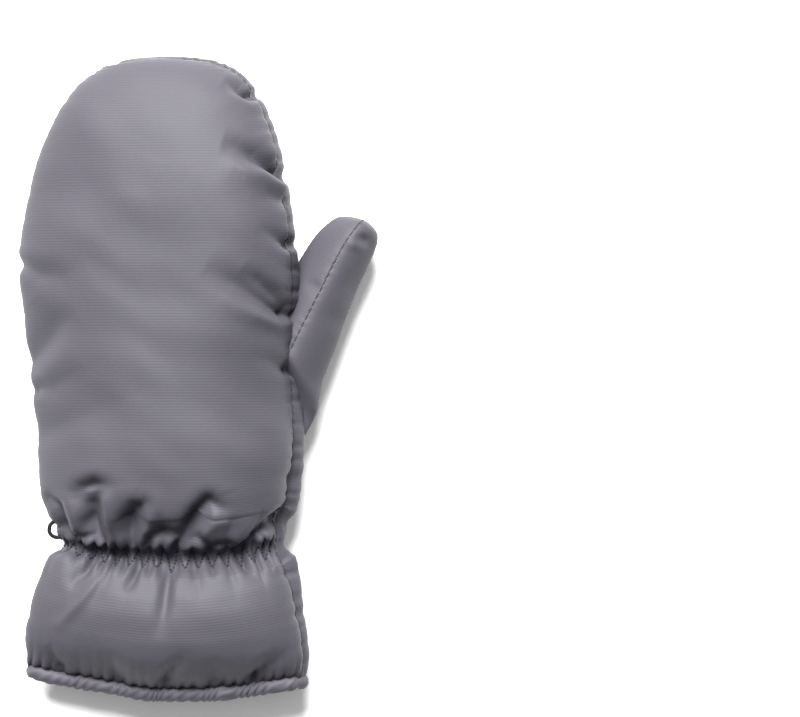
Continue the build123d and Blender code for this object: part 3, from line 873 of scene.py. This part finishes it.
SHELL_CLOTH = ribbed_cloth("shell_cloth", (0.0405, 0.038, 0.0475), (0.0565, 0.0535, 0.0655))
BINDING_CLOTH = ribbed_cloth("binding_cloth", (0.049, 0.046, 0.057), (0.067, 0.063, 0.077), rib=1.1)
GRIP_CLOTH = grained(
    "grip_cloth", (0.018, 0.018, 0.021), (0.060, 0.060, 0.066), 900, 0.22, 0.72, 0.1, spots=620,
)
FLEECE = grained("fleece", (0.050, 0.048, 0.058), (0.110, 0.106, 0.122), 420, 0.9, 0.95, 0.5)
WADDING = grained("wadding", (0.62, 0.62, 0.60), (0.90, 0.90, 0.88), 260, 1.2, 0.95, 0.3)
ELASTIC = ribbed_cloth("elastic", (0.55, 0.55, 0.54), (0.80, 0.80, 0.78), rib=0.9)
THREAD = grained("thread", (0.010, 0.009, 0.015), (0.032, 0.030, 0.042), 1600, 0.08, 0.7)
CORD = grained("loop_cord", (0.004, 0.004, 0.005), (0.018, 0.018, 0.021), 1500, 0.12, 0.6, shine=0.1)
LABEL = ribbed_cloth("label_cloth", (0.66, 0.66, 0.65), (0.84, 0.84, 0.83), rib=0.6)


# --- Pieces ---------------------------------------------------------------------------------------

def grid_faces(rows, columns, flip=False, closed=False, first=0):
    """Quads of a grid of points, which may close round its rows."""
    r, c = np.meshgrid(np.arange(rows - 1), np.arange(columns - (0 if closed else 1)), indexing="ij")
    after = (c + 1) % columns
    quads = np.stack([
        r * columns + c, r * columns + after, (r + 1) * columns + after, (r + 1) * columns + c,
    ], axis=-1)
    quads = quads.reshape(-1, 4) + first
    return quads[:, ::-1] if flip else quads


def make_piece(name, points, faces, material, slot, pattern=None):
    """A smooth piece from points in millimetres, which takes its weave from its pattern coordinates."""
    mesh = bpy.data.meshes.new(name)
    places = (np.asarray(points, float).reshape(-1, 3) * MM).tolist()
    mesh.from_pydata(places, [], [list(map(int, face)) for face in faces])
    if pattern is not None:
        layer = mesh.uv_layers.new(name="Pattern")
        loops = np.zeros(len(mesh.loops), int)
        mesh.loops.foreach_get("vertex_index", loops)
        layer.data.foreach_set("uv", (np.asarray(pattern, float).reshape(-1, 2)[loops] * MM).ravel())
    mesh.shade_smooth()
    mesh.validate()
    piece = bpy.data.objects.new(name, mesh)
    bpy.context.scene.collection.objects.link(piece)
    piece.data.materials.append(material)
    return piece


def grid_piece(name, grids, material, slot, flip=False):
    """One piece from one or more (grid, pattern, flipped) sheets."""
    points, faces, patterns, first = [], [], [], 0
    for grid, pattern, flipped in grids:
        faces.extend(grid_faces(*grid.shape[:2], flip=flip != flipped, first=first))
        points.append(grid.reshape(-1, 3))
        patterns.append(pattern.reshape(-1, 2))
        first += points[-1].shape[0]
    return make_piece(name, np.concatenate(points), faces, material, slot, np.concatenate(patterns))


def bend_at_wrist(piece, *nodes):
    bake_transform(piece)
    if nodes:
        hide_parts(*nodes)


def bend_at_thumb(piece, *nodes):
    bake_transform(piece)
    if nodes:
        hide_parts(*nodes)


back_panel = grid_piece("back_panel", [(BACK, back_pattern, False)], SHELL_CLOTH, "shell_cloth")
bend_at_wrist(back_panel, "back_panel_hand", "back_panel_cuff")

side_gusset = grid_piece(
    "side_gusset", [(OUTER_GUSSET, outer_pattern, True), (THUMB_GUSSET, thumb_pattern, False)],
    SHELL_CLOTH, "shell_cloth",
)
bend_at_wrist(side_gusset, "side_gusset_hand", "side_gusset_cuff")

wrist_row = int(np.argmin(abs(ALONG - WRIST_Y)))
palm_parts = {
    "grip": (PALM[wrist_row:], palm_pattern[wrist_row:], True),
    "cuff": (PALM[: wrist_row + 1], palm_pattern[: wrist_row + 1], True),
}
palm_grip = grid_piece("palm_panel", [palm_parts["grip"]], GRIP_CLOTH, "grip_cloth")
bend_at_wrist(palm_grip, "palm_panel_hand")
palm_cuff = grid_piece("cuff_palm_panel", [palm_parts["cuff"]], SHELL_CLOTH, "shell_cloth")
bend_at_wrist(palm_cuff, "palm_panel_cuff")

for name, cloth, pattern, material, slot in (
    ("outer", THUMB_OUTER, thumb_outer_pattern, SHELL_CLOTH, "shell_cloth"),
    ("inner", THUMB_INNER, thumb_inner_pattern, SHELL_CLOTH, "shell_cloth"),
    ("grip", THUMB_GRIP, thumb_grip_pattern, GRIP_CLOTH, "grip_cloth"),
):
    panel = grid_piece(f"thumb_{name}_cloth", [(cloth, pattern, False)], material, slot)
    bend_at_thumb(panel, f"thumb_{name}_panel")


# --- Stitches -------------------------------------------------------------------------------------

def tube(path, radius, sides=6, taper=True):
    """Rings of points round a path, and their faces."""
    path = np.asarray(path, float)
    along = unit(np.gradient(path, axis=0))
    side = unit(np.cross(along, (0.13, 0.31, 0.94)))
    other = np.cross(along, side)
    turn = np.linspace(0, 2 * math.pi, sides, endpoint=False)
    size = np.full(len(path), radius)
    if taper:
        size[[0, -1]] *= 0.3
    ring = np.cos(turn)[None, :, None] * side[:, None] + np.sin(turn)[None, :, None] * other[:, None]
    return path[:, None] + size[:, None, None] * ring, grid_faces(len(path), sides, closed=True)


def tubes_piece(name, paths, radius, material, slot, sides=6):
    points, faces, first = [], [], 0
    for path in paths:
        ring, quads = tube(path, radius, sides)
        points.append(ring.reshape(-1, 3))
        faces.extend(quads + first)
        count = ring.shape[0] * sides
        faces.append(list(range(first, first + sides)))
        faces.append(list(range(first + count - 1, first + count - 1 - sides, -1)))
        first += count
    return make_piece(name, np.concatenate(points), faces, material, slot)


def walk(line, spacing):
    """Points evenly spaced along a line."""
    steps = length_of(np.diff(line, axis=0))[:, 0]
    reach = np.append(0, np.cumsum(steps))
    places = np.arange(0, reach[-1], spacing)
    return np.column_stack([np.interp(places, reach, line[:, k]) for k in range(3)])


STITCH_STEP = 0.45      # between the points of a stitch


def dashes(line, stitch=2.7, gap=1.0, lift=0.25):
    """Stitches along a seam, lifted a little out of it."""
    points = walk(line, STITCH_STEP)
    length, pitch = round(stitch / STITCH_STEP), round((stitch + gap) / STITCH_STEP)
    lifted = points + np.array([0, 0, lift])
    return [lifted[k : k + length + 1] for k in range(0, len(points) - length, pitch)]


SEAM_THREAD = 0.26      # radius of a stitch
STITCH_COLUMN = -3      # of the back panel's grid, just inside the thumb-side seam
stitch_line = BACK[:, STITCH_COLUMN] + 0.1 * normals_of(BACK)[:, STITCH_COLUMN]
seam_dashes = dashes(stitch_line[:-4], lift=0)
bend_at_wrist(tubes_piece("seam_stitches", seam_dashes, SEAM_THREAD, THREAD, "thread"))
ridge_line = THUMB_OUTER[:-3, 0]
thumb_stitches = tubes_piece("thumb_stitches", dashes(ridge_line, lift=0.2), SEAM_THREAD, THREAD, "thread")
bend_at_thumb(thumb_stitches)


def on_back(row, column):
    """A point of the settled back panel, between its grid points."""
    r, c = np.floor(row).astype(int), np.floor(column).astype(int)
    r, c = np.clip(r, 0, BACK.shape[0] - 2), np.clip(c, 0, BACK.shape[1] - 2)
    fr, fc = (row - r)[:, None], (column - c)[:, None]
    return (
        BACK[r, c] * (1 - fr) * (1 - fc) + BACK[r + 1, c] * fr * (1 - fc)
        + BACK[r, c + 1] * (1 - fr) * fc + BACK[r + 1, c + 1] * fr * fc
    )


# Radius of the zigzag thread at the elastic. The thread is real, but it is thicker than real thread, so its dark
# tubes also stand in as painted shade in the valleys between the puffs.
ZIGZAG_THREAD_AND_SHADE = 0.5
ZIGZAG_WIDTH = 3.4
ZIGZAG_STEP = GATHER / 2
wrist_arc = arc[wrist_row] - arc[wrist_row, 0]
zig_places = np.arange(1.0, wrist_arc[-1] - 1.0, ZIGZAG_STEP / 4)
zig_phase = np.arange(len(zig_places)) % 8
zig_side = np.where(zig_phase < 4, zig_phase / 2 - 1, 3 - zig_phase / 2)
zig_columns = np.interp(zig_places, wrist_arc, np.arange(len(wrist_arc)))
zigzag = on_back(wrist_row + zig_side * ZIGZAG_WIDTH / 2 / STEP, zig_columns)
zig_dashes = dashes(zigzag, stitch=1.35, gap=0.45)
elastic_stitches = tubes_piece("elastic_stitches", zig_dashes, ZIGZAG_THREAD_AND_SHADE, THREAD, "thread")
bend_at_wrist(elastic_stitches)


# --- Hem binding ----------------------------------------------------------------------------------

ROLL = 3.5              # radius of the padded roll
ROLL_JOIN_X = 61.0      # its ends meet here, on the back


def cloth_ring(row):
    """The outer cloth all round the mitten at one row."""
    return np.concatenate([
        BACK[row, :-1], THUMB_GUSSET[row, :-1], PALM[row, ::-1][:-1], OUTER_GUSSET[row, ::-1][:-1],
    ])


def smooth_loop(loop, rounds):
    for _ in range(rounds):
        loop = (np.roll(loop, 1, axis=0) + 2 * loop + np.roll(loop, -1, axis=0)) / 4
    return loop


def even_loop(loop, count):
    closed = np.concatenate([loop, loop[:1]])
    reach = np.append(0, np.cumsum(length_of(np.diff(closed, axis=0))[:, 0]))
    places = np.linspace(0, reach[-1], count, endpoint=False)
    return np.column_stack([np.interp(places, reach, closed[:, k]) for k in range(3)]), places


HEM_POINTS, HEM_ROUNDS, ROLL_POINTS = 420, 60, 900
roll_path, roll_places = even_loop(smooth_loop(even_loop(cloth_ring(0), HEM_POINTS)[0], HEM_ROUNDS), ROLL_POINTS)
roll_way = unit(np.roll(roll_path, -1, axis=0) - np.roll(roll_path, 1, axis=0))
roll_out = unit(np.cross(roll_way, (0, 1, 0)))
roll_middle = roll_path - 1.2 * roll_out + 2.4 * np.array([0, -1, 0])
roll_sides = 28
roll_turn = np.linspace(0, 2 * math.pi, roll_sides, endpoint=False)
# Puckers run slanting round it, a whole number of them in a turn
PUCKER_GAP, PUCKERS_A_TURN = 4.2, 4
twist = roll_places[:, None] / PUCKER_GAP + PUCKERS_A_TURN * roll_turn[None, :] / (2 * math.pi)
twist = twist + 0.9 * wander(roll_places, 8, 81)[:, None]
swell = 1 + 0.07 * wander(roll_places, 9, 82)[:, None]
ripple = 0.34 * np.sin(2 * math.pi * twist) * (0.7 + 0.6 * wander(roll_places, 6, 83)[:, None])
join = bump(roll_middle[:, 0] - ROLL_JOIN_X, 1.0) * (roll_middle[:, 2] > WRIST_Z - 10)
roll_size = ROLL * swell + ripple - 0.8 * join[:, None]
roll_ring = (
    roll_middle[:, None]
    + roll_size[..., None] * np.cos(roll_turn)[None, :, None] * roll_out[:, None]
    + roll_size[..., None] * np.sin(roll_turn)[None, :, None] * np.array([0, -1, 0])
)
roll_ring = np.concatenate([roll_ring, roll_ring[:1]])
roll_pattern = np.stack(np.broadcast_arrays(
    roll_turn[None, :] * ROLL, np.append(roll_places, roll_places[-1] + 0.7)[:, None]
), axis=-1)
roll_faces = grid_faces(len(roll_ring), roll_sides, closed=True)
hem_binding = make_piece(
    "hem_roll", above_floor(roll_ring), roll_faces, BINDING_CLOTH, "shell_cloth", roll_pattern
)
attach(hem_binding, "cuff")
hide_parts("hem_binding")


# --- Inside: wadding, lining, elastic, label ------------------------------------------------------

CELL = 2.0              # of the maps of the back's and the palm's height
CELLS = 180             # enough for the mitten's whole length
NO_CLOTH = 99.0


def cell(places):
    number = np.round(places[..., :2] / CELL).astype(int) + CELLS // 2
    number = np.clip(number, 1, CELLS - 2)
    return number[..., 0], number[..., 1]


def height_map(cloth, side):
    """A cloth's lowest (side 1) or highest (side -1) point in and beside each cell."""
    near = np.full((CELLS, CELLS), NO_CLOTH)
    np.minimum.at(near, cell(cloth), side * cloth[..., 2])
    for axis in (0, 1):
        near = np.minimum(near, np.minimum(np.roll(near, 1, axis), np.roll(near, -1, axis)))
    return side * near


BACK_MAP, PALM_MAP = height_map(BACK, 1), height_map(PALM, -1)


def between_cloths(points, gap):
    """Points kept at least this gap under the back's cloth and above the palm's."""
    highest, lowest = BACK_MAP[cell(points)] - gap, PALM_MAP[cell(points)] + gap
    middle = (highest + lowest) / 2
    points[..., 2] = np.clip(points[..., 2], np.minimum(lowest, middle), np.maximum(highest, middle))
    return points


MOUTH_REACH = 24.0      # the bags inside are drawn out to the hem roll over this length


def out_to_roll(grid, t, depth):
    """The first rows of a bag drawn out to the hem roll, this far in from its middle."""
    ring = roll_middle - depth * roll_out
    low, high = ring.min(axis=0), ring.max(axis=0)
    middle, half = (low + high) / 2, (high - low) / 2
    angle = np.arctan2((ring[:, 2] - middle[2]) / half[2], (ring[:, 0] - middle[0]) / half[0])
    turn = np.linspace(0, 2 * math.pi, grid.shape[1], endpoint=False)
    mouth = np.column_stack([np.interp(turn, angle, ring[:, k], period=2 * math.pi) for k in range(3)])
    share = ease(1 - (t - HEM_Y) / MOUTH_REACH)[:, None, None]
    return grid + (mouth[None] - grid[:1]) * share


LINING_INSET = curve_through([
    (HEM_Y, 5.5), (-148, 7.0), (-120, 8.5), (WRIST_Y, 7.5), (-70, 11.0), (-40, 13.0), (TIP_END, 13.0),
])
inner_rows = np.linspace(0, len(ALONG) - 1, 91).astype(int)
INNER_SIDES = 72


def inner_bag(share, ripple, seed):
    """A bag inside the outer cloth: share 1 is the lining, less is nearer the outer cloth."""
    turn = np.linspace(0, 2 * math.pi, INNER_SIDES, endpoint=False)
    t = ALONG[inner_rows]
    inset = 1.6 + share * (LINING_INSET(t) - 1.6)
    left, right = OUTER_LINE[inner_rows], THUMB_LINE[inner_rows]
    shrink = np.cos(ANGLE[inner_rows]) ** 0.9
    half = np.maximum((right[:, 0] - left[:, 0]) / 2 - inset - 6 * shrink, 0.5 * shrink)
    top = (CROWN(t) - inset - 2.5 - 12 * bump(t - WRIST_Y, 12) - 28) * shrink + 28
    bottom = 28 - (28 - np.maximum(1.5 + 0.85 * inset, 2)) * shrink
    middle, height = (top + bottom) / 2, (top - bottom) / 2
    y = ROW_Y[inner_rows] - inset * np.sin(ANGLE[inner_rows])
    rise = np.sign(np.sin(turn)) * np.abs(np.sin(turn)) ** 0.85
    wrinkle = 1 + ripple * wander(turn * 20, 5, seed)[None, :] * np.cos(t / 9)[:, None]
    grid = np.empty((len(t), INNER_SIDES, 3))
    grid[..., 0] = ((left + right)[:, 0] / 2)[:, None] + half[:, None] * np.cos(turn) * wrinkle
    sag = SAG(t)[:, None] * (1 - np.cos(turn) ** 2) * (rise > 0)
    grid[..., 1] = y[:, None] - sag * 0.9
    grid[..., 2] = middle[:, None] + height[:, None] * rise * wrinkle
    return grid, t


def bag_between(share, ripple, seed):
    """A bag's points and pattern, with its first column again at the end."""
    grid, t = inner_bag(share, ripple, seed)
    grid = between_cloths(out_to_roll(grid, t, 0.4 + 2.0 * share), 1.0 + 1.5 * share)
    grid = np.concatenate([grid, grid[:, :1]], axis=1)
    pattern = np.stack(np.broadcast_arrays(np.arange(INNER_SIDES + 1)[None, :] * 4.0, t[:, None]), axis=-1)
    return grid, pattern


# The lining is two pieces of fleece, back and palm, sewn together at the sides
lining_grid, lining_pattern = bag_between(1.0, 0.03, 91)
lining = {}
for half, columns in (("back", slice(0, INNER_SIDES // 2 + 1)), ("palm", slice(INNER_SIDES // 2, None))):
    sheet = (lining_grid[:, columns], lining_pattern[:, columns], False)
    lining[half] = grid_piece(f"lining_{half}", [sheet], FLEECE, "fleece")
    bend_at_wrist(lining[half], f"lining_{half}_hand", f"lining_{half}_cuff")
wadding_grid, wadding_pattern = bag_between(0.45, 0.02, 92)
wadding_grid, wadding_pattern = wadding_grid[:, :-1], wadding_pattern[:, :-1]
wadding_faces = grid_faces(*wadding_grid.shape[:2], closed=True, flip=True)
wadding = make_piece("wadding", wadding_grid, wadding_faces, WADDING, "wadding", wadding_pattern)
bend_at_wrist(wadding, "wadding_back_hand", "wadding_palm_hand", "wadding_back_cuff", "wadding_palm_cuff")


THUMB_SIDES = 40


def thumb_bag(inset):
    """A bag inside the thumb's cloth, with its first column again at the end."""
    rows = np.linspace(0, len(THUMB_ALONG) - 1, 41).astype(int)
    turn = np.broadcast_to(np.linspace(0, 2 * math.pi, THUMB_SIDES + 1), (len(rows), THUMB_SIDES + 1))
    return thumb_section(turn, rows, inset)


for name, inset, material, slot, replaced in (
    ("thumb_fleece", 8.0, FLEECE, "fleece", "thumb_lining"),
    ("thumb_padding", 5.6, WADDING, "wadding", "thumb_wadding"),
):
    grid = thumb_bag(inset)
    pattern = np.stack(np.meshgrid(np.arange(grid.shape[1]) * 2.0, np.arange(grid.shape[0]) * 3.0), axis=-1)
    if slot == "fleece":
        bag = grid_piece(name, [(grid, pattern, False)], material, slot)
    else:
        grid, pattern = grid[:, :-1], pattern[:, :-1]
        faces = grid_faces(*grid.shape[:2], closed=True, flip=True)
        bag = make_piece(name, grid, faces, material, slot, pattern)
    bend_at_thumb(bag, replaced)


BAND_HALF, BAND_ROWS, BAND_POINTS = 4, 5, 200
BAND_ROUNDS = 120                           # of smoothing, so that the tape keeps out of the gathers
BAND_INSIDE = np.array([0.94, 1.0, 0.8])    # its size against the cloth round it


def wrist_band():
    """The elastic tape inside the gathered cloth."""
    steps = np.linspace(-BAND_HALF, BAND_HALF, BAND_ROWS)
    grid = []
    for row in [int(np.argmin(abs(ALONG - (WRIST_Y + step)))) for step in steps]:
        loop = cloth_ring(row)
        loop, _ = even_loop(smooth_loop(even_loop(loop, BAND_POINTS)[0], BAND_ROUNDS), BAND_POINTS)
        centre = loop.mean(axis=0)
        grid.append(centre + (loop - centre) * BAND_INSIDE)
    return between_cloths(np.array(grid), 0.6)


band = wrist_band()
band_pattern = np.stack(np.meshgrid(np.arange(BAND_POINTS) * 1.4, np.arange(BAND_ROWS) * 2.0), axis=-1)
band_faces = grid_faces(BAND_ROWS, BAND_POINTS, closed=True)
elastic = make_piece("elastic_tape", band, band_faces, ELASTIC, "elastic", band_pattern)
bend_at_wrist(elastic, "wrist_elastic")


# --- Pairing loop, bar tack and care label --------------------------------------------------------

LOOP_CORD = 1.8
LOOP_MIDDLE = (-45.8, -90.25, WRIST_Z)


def loop_path():
    """A cord that leaves the side seam, goes round and comes back to it."""
    points = np.array([
        (1.5, 3.4, 0.0), (-1.2, 3.8, 0.4), (-3.4, 3.3, 1.0), (-5.0, 1.6, 1.4),
        (-5.3, -0.6, 1.3), (-4.2, -2.7, 0.9), (-1.8, -3.7, 0.2), (1.5, -3.2, -0.4),
    ])
    reach = np.arange(len(points))
    places = np.linspace(0, len(points) - 1, 57)
    curves = [curve_through(np.column_stack([reach, points[:, k]])) for k in range(3)]
    return np.column_stack([curve(places) for curve in curves]) + LOOP_MIDDLE


loop = tubes_piece("cord_loop", [loop_path()], LOOP_CORD / 2, CORD, "loop_cord", sides=14)
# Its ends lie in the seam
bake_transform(loop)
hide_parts("pair_loop")

TACK_HALF = 5.0
tack_paths = []
for place in np.linspace(LOOP_MIDDLE[1] - TACK_HALF, LOOP_MIDDLE[1] + TACK_HALF, 15):
    strip = BACK[np.argmin(abs(ALONG - place)), :16]
    middle = max(2, np.argmin(abs(strip[:, 2] - WRIST_Z)))
    tack_paths.append(strip[middle - 2 : middle + 3] + np.array([-0.35, 0, 0]))
bar_tack = tubes_piece("bar_tack", tack_paths, 0.4, THREAD, "thread")
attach(bar_tack, "hand")
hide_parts("loop_bar_tack")

LABEL_SIZE = (26.0, 18.0)
label_low, label_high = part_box("care_label")
label_u, label_v = np.meshgrid(np.linspace(-0.5, 0.5, 27), np.linspace(-0.5, 0.5, 19))
label_middle = (label_low + label_high) / 2 / MM
label_z = label_high[2] / MM + 0.8 + 0.5 * np.sin(label_u * 5 + 1) * np.cos(label_v * 3)
label_pattern = np.stack([label_u * LABEL_SIZE[0], label_v * LABEL_SIZE[1]], axis=-1)
label_grid = np.concatenate([label_middle[:2] + label_pattern, label_z[..., None]], axis=-1)
label = grid_piece("blank_label", [(label_grid, label_pattern, False)], LABEL, "label_cloth")
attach(label, "cuff")
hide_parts("care_label")


# --- Floor, light and camera ----------------------------------------------------------------------

FLOOR_GLOW = 0.14       # of the light table it lies on


def stage_material():
    material, nodes, links, shader = new_material("floor_paper")
    place = nodes.new("ShaderNodeTexCoord").outputs["Object"]
    shade = noise_node(nodes, links, place, 3.0, 2.0)
    paper = mix_colours(nodes, links, shade, (0.95, 0.95, 0.95), (0.98, 0.98, 0.98))
    links.new(paper, shader.inputs["Base Color"])
    shader.inputs["Roughness"].default_value = 0.9
    shader.inputs["Emission Color"].default_value = (1, 1, 1, 1)
    shader.inputs["Emission Strength"].default_value = FLOOR_GLOW
    return material


bpy.ops.mesh.primitive_plane_add(size=8.0, location=(0.1, 0, 0))
floor = bpy.context.object
floor.name = "floor"
floor.data.materials.append(stage_material())


def area_light(name, place, target, size, power):
    data = bpy.data.lights.new(name, "AREA")
    data.shape = "DISK"
    data.size = size
    data.energy = power
    lamp = bpy.data.objects.new(name, data)
    bpy.context.scene.collection.objects.link(lamp)
    lamp.location = place
    lamp.rotation_mode = "QUATERNION"
    lamp.rotation_quaternion = (Vector(target) - Vector(place)).to_track_quat("-Z", "Y")


area_light("key", (-0.30, 1.62, 2.02), (0.03, -0.03, 0), 1.6, 305.0)
area_light("fill", (0.1, 0.3, 1.7), (0.05, -0.03, 0), 1.4, 5.0)

world = bpy.data.worlds.new("studio")
world.use_nodes = True
world.node_tree.nodes["Background"].inputs["Color"].default_value = (1, 1, 1, 1)
world.node_tree.nodes["Background"].inputs["Strength"].default_value = 0.16
bpy.context.scene.world = world
bpy.context.scene.view_settings.view_transform = "Standard"

VIEW_WIDTH = 0.3619     # across the picture, at the height of the mitten's outline
CAMERA_REACH = 1.25
camera_data = bpy.data.cameras.new("camera")
camera_data.sensor_width = 36.0
camera_data.lens = camera_data.sensor_width * CAMERA_REACH / VIEW_WIDTH
camera = bpy.data.objects.new("camera", camera_data)
bpy.context.scene.collection.objects.link(camera)
camera.location = (0.1077, -0.0129, 0.027 + CAMERA_REACH)
camera.rotation_euler = (0, 0, 0)
bpy.context.scene.camera = camera
